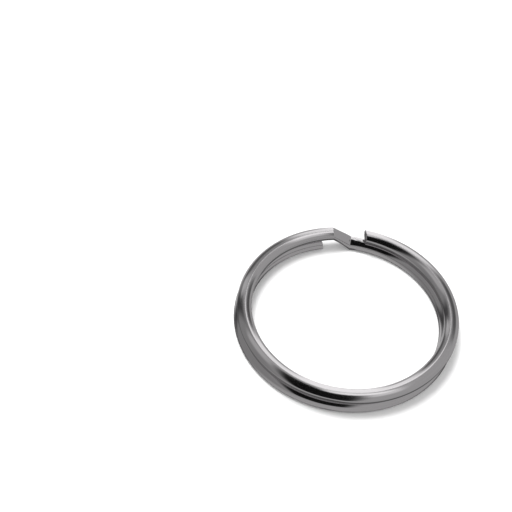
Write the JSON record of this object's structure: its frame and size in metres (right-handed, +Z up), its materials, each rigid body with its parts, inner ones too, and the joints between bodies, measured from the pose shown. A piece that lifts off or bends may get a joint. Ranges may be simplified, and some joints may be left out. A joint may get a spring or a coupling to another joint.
{
  "type": "split key ring",
  "caption": "Split key ring of sprung rolled wire, coiled two turns with a crossover crank, that opens at either cut end to take keys.",
  "frame": {"origin": "centre of the ring's eye, on the surface that the ring rests on", "axes": "+Z up along the ring's axis, +Y towards the crossover crank and the two cut ends, +X to the right seen from the side opposite the crank"},
  "size_m": [0.0324, 0.0321, 0.0032],
  "materials": {
    "spring_steel": "bright nickel plate over spring steel, polished"
  },
  "bodies": {
    "lower_leaf": {"lower_cut_end": "spring_steel", "lower_turn_1": "spring_steel", "lower_turn_2": "spring_steel", "lower_turn_3": "spring_steel"},
    "middle_wire": {"lower_turn_4": "spring_steel", "lower_turn_5": "spring_steel", "lower_turn_6": "spring_steel", "lower_turn_7": "spring_steel", "crossover_crank": "spring_steel", "upper_turn_1": "spring_steel", "upper_turn_2": "spring_steel", "upper_turn_3": "spring_steel", "upper_turn_4": "spring_steel"},
    "upper_leaf": {"upper_turn_5": "spring_steel", "upper_turn_6": "spring_steel", "upper_turn_7": "spring_steel", "upper_turn_8": "spring_steel", "upper_cut_end": "spring_steel"}
  },
  "joints": [
    {"name": "lower_end_opening", "type": "hinge", "parent": "lower_leaf", "child": "middle_wire", "pos_m": [-0.00016, -0.01606, 0.00162], "axis": [1, 0, 0], "range_deg": [0, 5.5], "stiffness_Nm_per_rad": 0.01},
    {"name": "upper_end_opening", "type": "hinge", "parent": "middle_wire", "child": "upper_leaf", "pos_m": [0.00016, -0.01594, 0.00162], "axis": [1, 0, 0], "range_deg": [0, 5.5], "stiffness_Nm_per_rad": 0.01}
  ]
}
